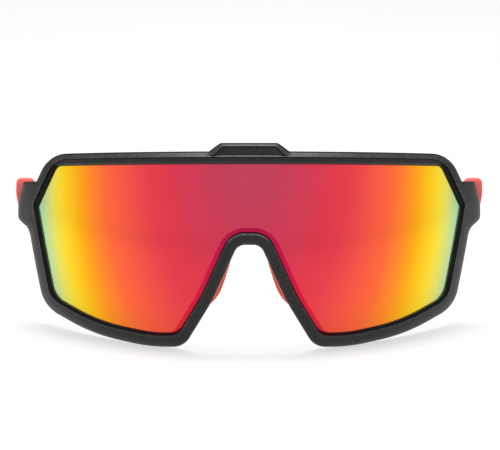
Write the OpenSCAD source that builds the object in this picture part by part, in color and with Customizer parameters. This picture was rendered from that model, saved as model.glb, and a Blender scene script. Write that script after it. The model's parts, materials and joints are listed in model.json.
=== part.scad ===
// Wrap-around shield glasses for glacier and mountain use: one mirrored shield lens in a full
// rim, two folding arms on metal three-barrel hinges, ribbed rubber nose pads and rubber tips.
// The glasses are drawn level, looking along the arms, and then stood as they lie on a table:
// on the low edges of the rim and the ends of the arms.  x is across, y runs back along the
// arms, z is up.  In the level frame y = 0 is the front of the lens and z = 0 the lowest edge.

/* [Front] */
// Width of the rim at its widest point
front_width = 141.6; // [120:0.2:172]
// Height of the rim, lowest edge to top edge
front_height = 59.6; // [49:0.2:72]
// How far each top corner lies in from the widest point
top_corner_in = 8.2; // [4:0.1:14]
// Drop from the top edge to the widest point
widest_drop = 16.2; // [12:0.1:20]
// How far each lower corner lies in from the widest point
low_corner_in = 5.8; // [3:0.1:10]
// Height of each lower corner above the lowest edge
low_corner_rise = 11.7; // [8:0.1:15]
// Level stretch of the lowest edge, measured out from the nose corner
foot_run = 11; // [9.5:0.1:14]
// How far the bend half way along the belly lies in from the widest point
belly_in = 22.3; // [18:0.1:26]
// Height of that bend above the lowest edge
belly_rise = 3.4; // [2:0.1:5]
// Angle from the middle of the lens to the widest point, at the centre of the lens's sphere
wrap_angle = 56.4; // [46:0.1:60]
// Height of the sphere's centre above the lowest edge
lens_centre_z = 42.4; // [36:0.1:48]

/* [Rim] */
// Rim width along the top
rim_top = 3.8; // [3.2:0.1:5]
// Rim width along the slanting upper sides
rim_slant = 4.2; // [3.4:0.1:5.4]
// Rim width down the sides
rim_side = 4.2; // [3.4:0.1:5.4]
// Rim width along the bottom
rim_low = 4.0; // [3.4:0.1:5]
// Rim width round the nose arch
rim_nose = 3.7; // [3.4:0.1:4.6]
// How far the rim stands proud of the lens in front
rim_proud = 1.2; // [0.8:0.1:1.8]
// How far the rim reaches behind the front of the lens
rim_behind = 4.4; // [4:0.1:6]

/* [Rim corners] */
// Radius of the upper corners of the nose arch
arch_r = 3.4; // [2:0.1:5]
// Radius of the bend where the arch flares
flare_r = 25; // [10:1:40]
// Radius of the low corners beside the nose
nose_foot_r = 4; // [2.5:0.1:5]
// Radius of the bend from the level foot up to the belly
foot_r = 60; // [30:1:80]
// Radius of the bend half way along the belly
belly_r = 60; // [30:1:80]
// Radius of the low outer corners
low_corner_r = 10.5; // [6:0.1:14]
// Radius at the widest points
widest_r = 5; // [3:0.1:8]
// Radius of the top corners
top_corner_r = 9.5; // [5:0.1:11]

/* [Nose arch] */
// Half width of the top of the nose arch
arch_half = 3.4; // [2.5:0.1:6]
// Height of the top of the nose arch above the lowest edge
arch_z = 31.4; // [27:0.1:36]
// Half width of the arch where it starts to flare
flare_half = 11.6; // [9:0.1:14]
// Height where it starts to flare
flare_z = 13.7; // [11:0.1:16]
// Half width of the arch at the lowest edge
nose_foot_half = 20.0; // [16.5:0.1:24]

/* [Lens] */
// Thickness of the lens
lens_t = 2.0; // [1.6:0.1:2.2]
// How far the lens edge reaches into the groove of the rim
lens_lap = 1.2; // [0.8:0.1:1.6]
// Play between the lens edge and the groove
lens_play = 0.15; // [0.05:0.01:0.3]

/* [Brow] */
// Width of the top of the brow bump
bump_top_w = 17.4; // [14:0.1:30]
// Width of its foot on the top edge
bump_foot_w = 24.2; // [20:0.1:40]
// Height of the bump above the top edge
bump_h = 2.5; // [1.6:0.1:4]
// Height of the inset panel
panel_h = 2.8; // [2:0.1:3.4]
// Width of the panel along its top edge
panel_top_w = 15.8; // [10:0.1:17]
// Width of the panel along its lower edge
panel_foot_w = 21.6; // [18:0.1:23]
// Distance from the top of the bump down to the panel
panel_down = 1.0; // [0.6:0.1:1.4]
// Depth of the pocket that holds the panel
panel_pocket = 1.0; // [0.6:0.1:1.1]
// How far the panel lies below the face round it
panel_sunk = 0.25; // [0.1:0.05:0.5]
// Play round the panel in its pocket
panel_play = 0.08; // [0.02:0.01:0.15]

/* [Lugs] */
// How far each lug stands out beyond the widest point of the rim
lug_out = 2.7; // [2:0.1:5]
// Drop from the top edge of the rim to the top of the lug
lug_drop = 8.5; // [7:0.1:10]
// Height of the outer face of the lug, down to its lower corner
lug_h = 11.6; // [9:0.1:14]
// How far the top of the lug slants in
lug_slant = 1.9; // [0:0.1:3]
// Thickness of the lug, from its outer corner inwards
lug_t = 9.3; // [9:0.1:11]
// How far the lug reaches behind the deepest point of the rim
lug_past = 0.3; // [0.1:0.1:6]

/* [Arms] */
// Length of each arm, front end to tip
arm_length = 116.7; // [97:0.1:141]
// Height of the arm at its front end
arm_h = 13.7; // [11.5:0.1:16]
// How far the arm stands out beyond the lug
arm_past_lug = 1.1; // [0.2:0.1:1.4]
// How far the arm stands above the top of the lug
arm_above_lug = 1.6; // [0.4:0.1:2]
// Thickness of the arm at its front end
arm_t_front = 5.6; // [5:0.1:6.8]
// Thickness of the arm along the rest of its length
arm_t = 3.6; // [3:0.1:4.4]
// Straight length of the arm before it bows in round the head
arm_straight = 24; // [15:0.5:40]
// Radius of the bow
arm_bow_r = 200; // [160:1:300]
// Height of the tip
tip_h = 10.2; // [8:0.1:13]
// How far the underside of the tip lies below the underside of the front end
tip_drop = 5.4; // [3:0.1:9]
// Rounding of the lower corner of the tip
tip_r = 4.0; // [2:0.1:4]
// Rounding of the upper corner of the tip
tip_top_r = 5; // [2:0.1:5]
// Rounding of the corners at the front end
arm_front_r = 1.5; // [0.5:0.1:3]
// Length over which the arm thins from its front end
arm_taper = 34; // [25:0.5:45]
// Rise of the underside over that length
arm_foot_rise = 1.4; // [0:0.1:3]
// Fall of the top edge over that length
arm_top_fall = 1.1; // [0:0.1:3]
// Gap between the lug and the front end of the arm
arm_gap = 0.3; // [0.2:0.05:0.6]

/* [Tip sleeves] */
// Length of the rubber sleeve on each arm
sleeve_length = 50; // [38:0.5:64]
// Length of the tongue of the arm inside the sleeve
tongue_length = 37; // [24:0.5:44]
// Thickness of the tongue
tongue_t = 1.6; // [1.2:0.1:2]
// Height of the tongue at its root
tongue_h = 5.4; // [4:0.1:6.5]
// Height of the tongue at its end
tongue_end_h = 3.8; // [2:0.1:4.5]
// Play round the tongue
tongue_play = 0.05; // [0.02:0.01:0.1]

/* [Hinges] */
// Radius of the hinge barrel
barrel_r = 1.5; // [1.2:0.05:1.8]
// Height of the hinge, top of the upper ear to foot of the lower ear
hinge_h = 6.4; // [5.6:0.1:8]
// Height of the middle barrel
middle_h = 2.0; // [1.6:0.1:2.4]
// Gap between the middle barrel and each ear
ear_gap = 0.08; // [0.05:0.01:0.15]
// Thickness of the leaves
leaf_t = 2.0; // [1.6:0.1:2.2]
// Length of the front leaf inside the lug
leaf_in = 5.8; // [4:0.1:6]
// Distance from the end of the lug back to the hinge axis
axis_back = 2.4; // [2.2:0.1:3]
// Air between the barrel and the inner face of the arm
barrel_air = 0.25; // [0.15:0.05:0.5]
// Length of the foot that holds the rear leaf in the arm
foot_len = 6.4; // [5:0.1:8]
// Air between the barrel and that foot
foot_air = 0.7; // [0.4:0.05:1.2]
// Height of that foot
foot_h = 5.2; // [4.4:0.1:6]
// How deep the foot is let into the arm
foot_in = 0.8; // [0.6:0.1:1.2]
// Play round the leaves in their pockets
leaf_play = 0.05; // [0.02:0.01:0.1]
// Radius of the screw
screw_r = 0.7; // [0.5:0.05:0.8]
// Radial play of the screw in the leaves
screw_play = 0.05; // [0.02:0.01:0.08]
// Radius of the screw head
head_r = 1.3; // [1.1:0.05:1.4]
// Thickness of the screw head
head_t = 0.8; // [0.6:0.05:1]

/* [Nose pads] */
// Length of each pad along the arch
pad_length = 15.6; // [10:0.1:16]
// Depth of each pad, front to back
pad_depth = 12.3; // [10:0.1:14]
// How far the middle of the pad stands out from the arch
pad_bulge = 1.1; // [1:0.05:2]
// Distance along the arch from its top corner to the middle of the pad
pad_along = 11.7; // [9:0.1:13]
// How far the pad lies behind the front face of the rim
pad_set_back = 0.9; // [0.5:0.1:1.4]
// Angle at which the pad opens towards the face
pad_splay = 6; // [4:1:10]
// Height of the ribs on the pad
rib_h = 0.25; // [0.15:0.05:0.4]
// Number of ribs
rib_count = 16; // [6:1:18]
// Radius of the two pegs of the pad carrier
peg_r = 0.8; // [0.6:0.05:0.9]
// Length of the pegs inside the rim
peg_length = 1.8; // [1.2:0.1:1.9]
// Distance between the pegs
peg_pitch = 6.4; // [5:0.1:8]
// Distance from the wall of the arch to the axis of the pegs
peg_in = 2.0; // [1.8:0.1:2.2]
// Radial play of the pegs in their holes
peg_play = 0.05; // [0.02:0.01:0.1]

/* [Hidden] */

// Left and right are the wearer's: left is +x.
left = 1;
right = -1;

// ---- spheres: the lens and both faces of the rim share one centre ----
half_w = front_width / 2;
widest_z = front_height - widest_drop;
lens_radius = half_w / sin(wrap_angle);
front_r = lens_radius + rim_proud;
rear_r = lens_radius - rim_behind;
seat_r = lens_radius - lens_t;
lip_play = 0.1;
sphere_fn = 180;
front_of_all = -rim_proud - 2;
arc_step = 7;

// Depth of a sphere of radius r behind the front of the lens, at p = [x, z].
function depth(p, r) =
  lens_radius - sqrt(r * r - p[0] * p[0] - (p[1] - lens_centre_z) * (p[1] - lens_centre_z));

// ---- outlines with rounded corners ----
function unit(v) = v / norm(v);
function backwards(v) = [for (i = [len(v) - 1:-1:0]) v[i]];

// The arc that rounds corner b of a, b, c with radius r.
function corner_arc(a, b, c, r) =
  let (
    u = unit(a - b),
    v = unit(c - b),
    half = acos(u * v) / 2,
    reach = min(r / tan(half), 0.48 * min(norm(a - b), norm(c - b))),
    radius = reach * tan(half),
    middle = b + unit(u + v) * radius / sin(half),
    from = b + u * reach - middle,
    to = b + v * reach - middle,
    turn = 180 - 2 * half,
    way = sign(cross(from, to)),
    steps = max(2, ceil(turn / arc_step))
  )
  [for (i = [0:steps])
    let (s = way * turn * i / steps)
    middle + [from[0] * cos(s) - from[1] * sin(s), from[0] * sin(s) + from[1] * cos(s)]];

// A closed outline from corners [x, y, radius].
function rounded(corners) =
  let (n = len(corners))
  [for (i = [0:n - 1])
    let (a = corners[(i + n - 1) % n], b = corners[i], c = corners[(i + 1) % n])
    each corner_arc([a[0], a[1]], [b[0], b[1]], [c[0], c[1]], b[2])];

// ---- the rim's outline: corners of its right half, from the nose arch round to the top ----
rim_half = [
  [arch_half, arch_z, arch_r],
  [flare_half, flare_z, flare_r],
  [nose_foot_half, 0, nose_foot_r],
  [nose_foot_half + foot_run, 0, foot_r],
  [half_w - belly_in, belly_rise, belly_r],
  [half_w - low_corner_in, low_corner_rise, low_corner_r],
  [half_w, widest_z, widest_r],
  [half_w - top_corner_in, front_height, top_corner_r]
];
rim_corners = concat(rim_half, [for (c = backwards(rim_half)) [-c[0], c[1], c[2]]]);
// Rim width along the stretch that starts at each corner.
half_widths = [rim_nose, rim_nose, rim_low, rim_low, rim_low, rim_side, rim_slant];
rim_widths = concat(half_widths, [rim_top], backwards(half_widths), [rim_nose]);
smallest_corner_r = 2.2;

// The rim's outline moved inwards: by share of each stretch's rim width, less back_off.
function rim_outline(share, back_off = 0) =
  let (
    n = len(rim_corners),
    p = [for (c = rim_corners) [c[0], c[1]]],
    dir = [for (i = [0:n - 1]) unit(p[(i + 1) % n] - p[i])],
    inset = [for (w = rim_widths) share * w - back_off]
  )
  rounded([for (i = [0:n - 1])
    let (
      before = (i + n - 1) % n,
      n0 = [-dir[before][1], dir[before][0]],
      n1 = [-dir[i][1], dir[i][0]],
      c0 = n0 * p[i] + inset[before],
      c1 = n1 * p[i] + inset[i],
      det = cross(n0, n1),
      moved = (inset[before] + inset[i]) / 2,
      r = det > 0 ? max(rim_corners[i][2] - moved, smallest_corner_r) : rim_corners[i][2] + moved
    )
    [(c0 * n1[1] - c1 * n0[1]) / det, (n0[0] * c1 - n1[0] * c0) / det, r]]);

rim_edge = rim_outline(0);
opening_edge = rim_outline(1);
lens_edge = rim_outline(1, lens_lap);
groove_edge = rim_outline(1, lens_lap + lens_play);

// ---- brow bump and its panel ----
bump_z = front_height + bump_h;
bump_sink = 1.5;
bump_edge = rounded([
  [-bump_foot_w / 2, front_height - bump_sink, 0.1],
  [bump_foot_w / 2, front_height - bump_sink, 0.1],
  [bump_foot_w / 2, front_height, 0.3],
  [bump_top_w / 2, bump_z, 1.2],
  [-bump_top_w / 2, bump_z, 1.2],
  [-bump_foot_w / 2, front_height, 0.3]
]);
panel_top = bump_z - panel_down;
function panel_edge(play) = rounded([
  [-panel_foot_w / 2 + play, panel_top - panel_h + play, 0.5],
  [panel_foot_w / 2 - play, panel_top - panel_h + play, 0.5],
  [panel_top_w / 2 - play, panel_top - play, 0.5],
  [-panel_top_w / 2 + play, panel_top - play, 0.5]
]);

// ---- lugs ----
lug_outer = half_w + lug_out;
lug_inner = lug_outer - lug_t;
lug_top = front_height - lug_drop;
lug_foot = lug_top - lug_h;
lug_back = depth([half_w, widest_z], rear_r) + lug_past;
lug_edge = rounded([
  [lug_inner, lug_foot - 7, 0.5],
  [lug_outer, lug_foot, 1.2],
  [lug_outer, lug_foot + 3.5, 5],
  [lug_outer - lug_slant, lug_top, 0.8],
  [lug_inner, lug_top, 0.5]
]);

// ---- arms: thickness seen from above, height seen from the side ----
arm_front = lug_back + arm_gap;
arm_end = arm_front + arm_length;
arm_outer = lug_outer + arm_past_lug;
arm_x = arm_outer - arm_t_front / 2;
arm_inner = arm_x - arm_t_front / 2;
arm_top = lug_top + arm_above_lug;
arm_foot = arm_top - arm_h;
tip_foot = arm_foot - tip_drop;
taper_end = arm_front + arm_taper;
bow_start = arm_front + arm_straight;
sleeve_start = arm_end - sleeve_length;

function bow(y) =
  let (run = max(0, y - bow_start))
  arm_bow_r - sqrt(arm_bow_r * arm_bow_r - run * run);
function arm_thickness(y) =
  arm_t + (arm_t_front - arm_t) * max(0, min(1, (taper_end - y) / arm_taper));
strip_step = 5;
// Strip between y0 and y1 seen from above; t < 0 takes the arm's own thickness.
function arm_strip(y0, y1, t) =
  let (n = ceil((y1 - y0) / strip_step), ys = [for (i = [0:n]) y0 + (y1 - y0) * i / n])
  concat(
    [for (y = ys) [arm_x - bow(y) + (t < 0 ? arm_thickness(y) : t) / 2, y]],
    [for (i = [n:-1:0]) [arm_x - bow(ys[i]) - (t < 0 ? arm_thickness(ys[i]) : t) / 2, ys[i]]]
  );
bend_r = 60;
sleeve_root_h = (arm_h + tip_h) / 2 - 2.8;
sleeve_root_foot = arm_foot + 0.2;
arm_side = rounded([
  [arm_front, arm_foot, arm_front_r],
  [taper_end, arm_foot + arm_foot_rise, bend_r],
  [sleeve_start, sleeve_root_foot, bend_r],
  [arm_end, tip_foot, tip_r],
  [arm_end, tip_foot + tip_h, tip_top_r],
  [sleeve_start, sleeve_root_foot + sleeve_root_h, bend_r],
  [taper_end, arm_top - arm_top_fall, bend_r],
  [arm_front, arm_top, arm_front_r]
]);
tongue_root_z = sleeve_root_foot + sleeve_root_h / 2;
tongue_end_z = tongue_root_z + (tip_foot + tip_h / 2 - tongue_root_z) * tongue_length / sleeve_length;
function tongue_side(play) =
  let (
    y0 = sleeve_start - 2,
    y1 = sleeve_start + tongue_length + play,
    h0 = tongue_h / 2 + play,
    h1 = tongue_end_h / 2 + play
  )
  [[y0, tongue_root_z - h0], [y1, tongue_end_z - h1], [y1, tongue_end_z + h1], [y0, tongue_root_z + h0]];

// ---- hinges ----
axis_x = arm_inner - barrel_r - barrel_air;
axis_y = lug_back + axis_back;
axis_z = (lug_top + lug_foot) / 2 - 0.5;
ear_z = middle_h / 2 + ear_gap;
ear_h = hinge_h / 2 - ear_z;
foot_from = axis_y + barrel_r + foot_air;

// ---- nose pads: a frame whose x leaves the wall of the arch and z climbs it ----
arch_run = [flare_half - arch_half, arch_z - flare_z];
lean = atan2(arch_run[0], arch_run[1]);
pad_x = arch_half + pad_along * sin(lean);
pad_z = arch_z - pad_along * cos(lean);
pad_y = depth([pad_x, pad_z], front_r);
pad_rise = atan2((lens_centre_z - pad_z) * cos(lean) + pad_x * sin(lean), lens_radius - pad_y);
rim_depth = rim_proud + rim_behind;
pad_half = pad_length / 2;
pad_arc_r = (pad_half * pad_half + pad_bulge * pad_bulge) / (2 * pad_bulge);
function pad_face(z) = pad_arc_r - pad_bulge - sqrt(pad_arc_r * pad_arc_r - z * z);
rib_pitch = pad_length / rib_count;
carrier_from = rim_depth + pad_half * pad_half / (2 * rear_r) + 0.1;
carrier_in = 1.05;
carrier_t = 2.2;
carrier_length = pad_depth - rim_depth - 0.6;
carrier_slope = tan(pad_splay);

// ---- how the glasses stand: the rim's rear low edge and the tips touch one plane ----
tip_centre = [arm_end - tip_r, tip_foot + tip_r];
function rim_low_point(t) = min([for (p = rim_edge) p[1] * cos(t) - depth(p, rear_r) * sin(t)]);
function tip_low_point(t) = tip_centre[1] * cos(t) - tip_centre[0] * sin(t) - tip_r;
function find_tilt(low, high, tries) =
  let (t = (low + high) / 2)
  tries == 0 ? t
  : tip_low_point(t) > rim_low_point(t) ? find_tilt(t, high, tries - 1)
  : find_tilt(low, t, tries - 1);
tilt = find_tilt(2, 30, 24);
floor_z = rim_low_point(tilt);
front_y = min([for (p = rim_edge) depth(p, front_r) * cos(tilt) + p[1] * sin(tilt)]);
back_y = max([for (p = arm_side) p[0] * cos(tilt) + p[1] * sin(tilt)]);
middle_y = (front_y + back_y) / 2;

// ---- helpers ----
// Puts the level glasses down on the table, with the middle of their footprint at the origin.
module stand() {
  translate([0, -middle_y, -floor_z]) rotate([-tilt, 0, 0]) children();
}

// Draws a piece modelled on the wearer's left, on either side.
module on_side(side) {
  mirror([side < 0 ? 1 : 0, 0, 0]) children();
}

module ball(r) {
  translate([0, lens_radius, lens_centre_z]) sphere(r = r, $fn = sphere_fn);
}

// An outline in x and z, from y0 back to y1.
module slab(edge, y0, y1) {
  translate([0, y1, 0]) rotate([90, 0, 0]) linear_extrude(y1 - y0) polygon(edge);
}

// An outline in y and z, from x0 out to x1.
module side_slab(edge, x0, x1) {
  translate([x0, 0, 0]) rotate([90, 0, 90]) linear_extrude(x1 - x0) polygon(edge);
}

// A box between two corners, in any order that grows.
module block(from, to) {
  translate(from) cube(to - from);
}

// ---- front ----
shell_back = lug_back + 14;

module lug_block() {
  slab(lug_edge, 10, lug_back);
}

module panel_pocket_cut() {
  difference() {
    slab(panel_edge(0), front_of_all, 14);
    ball(front_r - panel_pocket);
  }
}

module front_leaf_pocket() {
  block(
    [axis_x - leaf_t / 2 - leaf_play, lug_back - leaf_in, axis_z - hinge_h / 2 - leaf_play],
    [axis_x + leaf_t / 2 + leaf_play, lug_back + 1, axis_z + hinge_h / 2 + leaf_play]
  );
}

module front_frame() {
  color("#2b2b2b") stand() difference() {
    intersection() {
      ball(front_r);
      union() {
        slab(rim_edge, front_of_all, shell_back);
        slab(bump_edge, front_of_all, 14);
        lug_block();
        on_side(right) lug_block();
      }
    }
    difference() {
      ball(rear_r);
      lug_block();
      on_side(right) lug_block();
    }
    difference() {
      slab(opening_edge, front_of_all, shell_back);
      ball(rear_r);
    }
    intersection() {
      slab(groove_edge, front_of_all, shell_back);
      difference() {
        ball(lens_radius + lip_play);
        ball(seat_r);
      }
    }
    panel_pocket_cut();
    for (side = [left, right]) {
      on_side(side) front_leaf_pocket();
      on_side(side) pad_frame() pegs(peg_r + peg_play, peg_length + 0.15);
    }
  }
}

module shield_lens() {
  color("#d8394f") stand() difference() {
    intersection() {
      ball(lens_radius);
      slab(lens_edge, front_of_all, shell_back);
    }
    ball(seat_r);
  }
}

module brow_panel() {
  color("#1f1f1f") stand() difference() {
    intersection() {
      ball(front_r - panel_sunk);
      slab(panel_edge(panel_play), front_of_all, 14);
    }
    ball(front_r - panel_pocket);
  }
}

// ---- nose pads ----
module pad_frame() {
  translate([pad_x, pad_y, pad_z]) rotate([0, -lean, 0]) rotate([pad_rise, 0, 0]) children();
}

module pegs(r, length) {
  peg_root = carrier_from + 0.5;
  for (z = [-peg_pitch / 2, peg_pitch / 2]) {
    translate([peg_in, peg_root, z]) rotate([90, 0, 0])
      cylinder(r = r, h = peg_root - rim_depth + length, $fn = 32);
  }
}

module ribbed_face() {
  tops = [for (i = [0:rib_count - 1]) -pad_half + (i + 0.5) * rib_pitch];
  profile = concat(
    [[4, -pad_half]],
    [for (z = tops) each [
      [pad_face(z - rib_pitch / 2) + 0.01, z - rib_pitch / 2],
      [pad_face(z) - rib_h, z - rib_pitch / 6],
      [pad_face(z) - rib_h, z + rib_pitch / 6]
    ]],
    [[pad_face(pad_half) + 0.01, pad_half], [4, pad_half]]
  );
  rotate([0, 0, -pad_splay]) slab(profile, -1, pad_depth + 4);
}

module nose_pad(side) {
  pad_back = pad_set_back + pad_depth;
  outer_back = carrier_in - leaf_play + (pad_back - carrier_from) * carrier_slope;
  plan = [
    [-4, pad_set_back], [0, pad_set_back], [0, carrier_from], [carrier_in - leaf_play, carrier_from],
    [outer_back, pad_back], [-4, pad_back]
  ];
  side_edge = rounded([
    [pad_set_back, -pad_half, 1.5], [pad_back, -pad_half + 1, 4.5],
    [pad_back, pad_half - 1, 4.5], [pad_set_back, pad_half, 2.5]
  ]);
  color("#d8452f") stand() on_side(side) pad_frame() intersection() {
    ribbed_face();
    translate([0, 0, -pad_half - 1]) linear_extrude(pad_length + 2) polygon(plan);
    side_slab(side_edge, -4, 5);
  }
}

module pad_carrier(side) {
  plate = [
    [carrier_in, carrier_from], [carrier_in + carrier_t, carrier_from],
    [carrier_in + carrier_t * 0.6 + carrier_length * carrier_slope, carrier_from + carrier_length],
    [carrier_in + carrier_length * carrier_slope, carrier_from + carrier_length]
  ];
  color("#303030") stand() on_side(side) pad_frame() union() {
    translate([0, 0, -peg_pitch / 2 - 1.8]) linear_extrude(peg_pitch + 3.6) polygon(plate);
    pegs(peg_r, peg_length);
  }
}

// ---- hinges ----
module barrel(z0, h) {
  translate([axis_x, axis_y, axis_z + z0]) cylinder(r = barrel_r, h = h, $fn = 48);
}

module screw_hole() {
  translate([axis_x, axis_y, axis_z - hinge_h])
    cylinder(r = screw_r + screw_play, h = 2 * hinge_h, $fn = 48);
}

module hinge_front_leaf(side) {
  color("#b9bcc0") stand() on_side(side) difference() {
    union() {
      block(
        [axis_x - leaf_t / 2, lug_back - leaf_in, axis_z - hinge_h / 2],
        [axis_x + leaf_t / 2, lug_back + 0.4, axis_z + hinge_h / 2]
      );
      for (z = [ear_z, -ear_z - ear_h]) {
        block([axis_x - leaf_t / 2, lug_back, axis_z + z], [axis_x + leaf_t / 2, axis_y, axis_z + z + ear_h]);
        barrel(z, ear_h);
      }
    }
    screw_hole();
  }
}

module rear_leaf_foot(play) {
  block(
    [axis_x, foot_from - play, axis_z - foot_h / 2 - play],
    [arm_inner + foot_in, foot_from + foot_len + play, axis_z + foot_h / 2 + play]
  );
}

module hinge_rear_leaf(side) {
  color("#b9bcc0") stand() on_side(side) difference() {
    union() {
      barrel(-middle_h / 2, middle_h);
      block(
        [axis_x - leaf_t / 2, axis_y, axis_z - middle_h / 2],
        [axis_x + leaf_t / 2, foot_from + foot_len * 0.8, axis_z + middle_h / 2]
      );
      rear_leaf_foot(0);
    }
    screw_hole();
  }
}

module hinge_screw(side) {
  slot_w = 0.4;
  head_z = axis_z + hinge_h / 2;
  color("#d5d7da") stand() on_side(side) difference() {
    union() {
      translate([axis_x, axis_y, axis_z - hinge_h / 2 - 0.3])
        cylinder(r = screw_r, h = hinge_h + 0.5, $fn = 48);
      translate([axis_x, axis_y, head_z]) cylinder(r = head_r, h = head_t, $fn = 48);
    }
    block(
      [axis_x - head_r - 1, axis_y - slot_w / 2, head_z + head_t / 2],
      [axis_x + head_r + 1, axis_y + slot_w / 2, head_z + head_t + 1]
    );
  }
}

// ---- arms ----
strip_z0 = tip_foot - 5;
strip_h = arm_top - tip_foot + 10;

module arm_solid(y0, y1) {
  intersection() {
    translate([0, 0, strip_z0]) linear_extrude(strip_h) polygon(arm_strip(y0, y1, -1));
    side_slab(arm_side, 0, arm_outer + 5);
  }
}

module tongue(play) {
  intersection() {
    translate([0, 0, strip_z0]) linear_extrude(strip_h)
      polygon(arm_strip(sleeve_start - 1, sleeve_start + tongue_length + 1, tongue_t + 2 * play));
    side_slab(tongue_side(play), 0, arm_outer + 5);
  }
}

module arm(side) {
  color("#e0503f") stand() on_side(side) difference() {
    union() {
      arm_solid(arm_front - 1, sleeve_start);
      tongue(0);
    }
    rear_leaf_foot(leaf_play);
  }
}

module tip_sleeve(side) {
  color("#cf4334") stand() on_side(side) difference() {
    arm_solid(sleeve_start, arm_end + 1);
    tongue(tongue_play);
  }
}

front_frame();
shield_lens();
brow_panel();
nose_pad(left);  // nose_pad_left
nose_pad(right);  // nose_pad_right
pad_carrier(left);  // pad_carrier_left
pad_carrier(right);  // pad_carrier_right
hinge_front_leaf(left);  // hinge_front_leaf_left
hinge_front_leaf(right);  // hinge_front_leaf_right
hinge_rear_leaf(left);  // hinge_rear_leaf_left
hinge_rear_leaf(right);  // hinge_rear_leaf_right
hinge_screw(left);  // hinge_screw_left
hinge_screw(right);  // hinge_screw_right
arm(left);  // arm_left
arm(right);  // arm_right
tip_sleeve(left);  // tip_sleeve_left
tip_sleeve(right);  // tip_sleeve_right
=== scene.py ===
import json
import math

import bmesh
import bpy
import numpy as np
from mathutils import Matrix, Vector
from mathutils.geometry import delaunay_2d_cdt


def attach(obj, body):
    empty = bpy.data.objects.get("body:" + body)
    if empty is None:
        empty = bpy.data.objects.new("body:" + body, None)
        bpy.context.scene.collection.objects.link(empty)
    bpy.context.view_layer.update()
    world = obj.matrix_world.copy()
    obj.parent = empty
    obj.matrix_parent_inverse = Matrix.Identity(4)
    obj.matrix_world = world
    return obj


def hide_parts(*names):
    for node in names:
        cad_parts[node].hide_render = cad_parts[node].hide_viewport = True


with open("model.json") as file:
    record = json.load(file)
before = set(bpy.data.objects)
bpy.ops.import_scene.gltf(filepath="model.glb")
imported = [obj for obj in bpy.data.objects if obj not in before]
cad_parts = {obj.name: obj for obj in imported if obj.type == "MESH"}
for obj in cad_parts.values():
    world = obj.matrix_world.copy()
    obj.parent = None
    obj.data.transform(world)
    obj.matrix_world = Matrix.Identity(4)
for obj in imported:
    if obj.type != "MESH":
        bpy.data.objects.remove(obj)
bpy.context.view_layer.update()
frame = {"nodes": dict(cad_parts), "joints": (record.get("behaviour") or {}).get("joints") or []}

# Sizes in millimetres, as in the CAD model unless a comment says otherwise. Level frame: x to the
# wearer's left, y back along the arms, z up. The lens and both faces of the rim are parts of spheres
# about (0, LENS_R, CENTRE_Z).
HALF_W = 70.8
FRONT_H = 59.6
WIDEST_Z = 43.4
CENTRE_Z = 42.4
HALF_WRAP = math.radians(56.4)
LENS_R = HALF_W / math.sin(HALF_WRAP)
RIM_BEFORE, RIM_BEHIND, LENS_T = 1.2, 4.4, 2.0
FRONT_R = LENS_R + RIM_BEFORE
REAR_R = LENS_R - RIM_BEHIND
SEAT_R = LENS_R - LENS_T
LENS_LAP = 1.2
GROOVE = 1.35
# Corners of the rim's outer edge, nose arch to top: x, z, radius; then the stretch that follows.
# The foot of the nose has a radius of 4.0 in the CAD model, and is rounder here, as in the photo.
CORNERS = [
    (3.4, 31.4, 3.4, "nose"), (11.6, 13.7, 25.0, "nose"), (20.0, 0.0, 6.3, "low"),
    (31.0, 0.0, 60.0, "low"), (48.5, 3.4, 60.0, "low"), (65.0, 11.7, 10.5, "side"),
    (70.8, WIDEST_Z, 5.0, "slant"), (62.6, FRONT_H, 9.5, "top"),
]
ARC_STEPS = [16, 10, 16, 12, 12, 20, 14, 22]
WIDTH = {"nose": 3.7, "low": 4.0, "side": 4.2, "slant": 4.2, "top": 3.8}
RIDGE = {"nose": 3.35, "low": 3.4, "side": 3.0, "slant": 2.4, "top": 1.7}
NOSE_FOOT, TOP_CORNER = 2, len(CORNERS) - 1
SMALLEST_R = 2.2
LUG_TOP = 51.1
LUG_IN = 64.2
LUG_BACK = LENS_R - math.sqrt(REAR_R**2 - HALF_W**2 - (WIDEST_Z - CENTRE_Z) ** 2) + 0.3
BUMP_FOOT, BUMP_TOP, BUMP_H = 12.1, 8.7, 2.5
PANEL_FOOT, PANEL_TOP, PANEL_LOW, PANEL_HIGH = 10.8, 7.9, 58.3, 61.1
ARM_X = 71.8
ARM_FRONT = LUG_BACK + 0.3
ARM_TAPER = 34.0
BOW_FROM, BOW_R = ARM_FRONT + 24.0, 200.0
SLEEVE_START = ARM_FRONT + 66.7
ARM_END = ARM_FRONT + 116.7
PIVOT = np.array([ARM_X - 2.8 - 1.75, LUG_BACK + 2.4, LUG_TOP - 11.6 / 2 - 0.5])

# ---------------------------------------------------------------- level frame to row frame
fold = next(j for j in frame["joints"] if j["name"] == "left_fold")
TILT = math.atan2(fold["axis"][1], fold["axis"][2])
LEVEL_X = np.array([1.0, 0.0, 0.0])
LEVEL_Y = np.array([0.0, math.cos(TILT), -math.sin(TILT)])
LEVEL_Z = np.array([0.0, math.sin(TILT), math.cos(TILT)])
TURN = np.array([LEVEL_X, LEVEL_Y, LEVEL_Z])
ORIGIN = np.array(fold["pos_m"])


def to_row(points):
    """Level millimetres to metres in the row frame."""
    return ORIGIN + (np.asarray(points, float) - PIVOT) / 1000 @ TURN


def depth(x, z, r):
    """y of the sphere of radius r about the lens's centre."""
    return LENS_R - np.sqrt(np.maximum(r * r - x * x - (z - CENTRE_Z) ** 2, 1.0))


def on_sphere(xz, r):
    return np.stack([xz[:, 0], depth(xz[:, 0], xz[:, 1], r), xz[:, 1]], 1)


def smooth(t):
    t = np.clip(t, 0.0, 1.0)
    return t * t * (3 - 2 * t)


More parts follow.
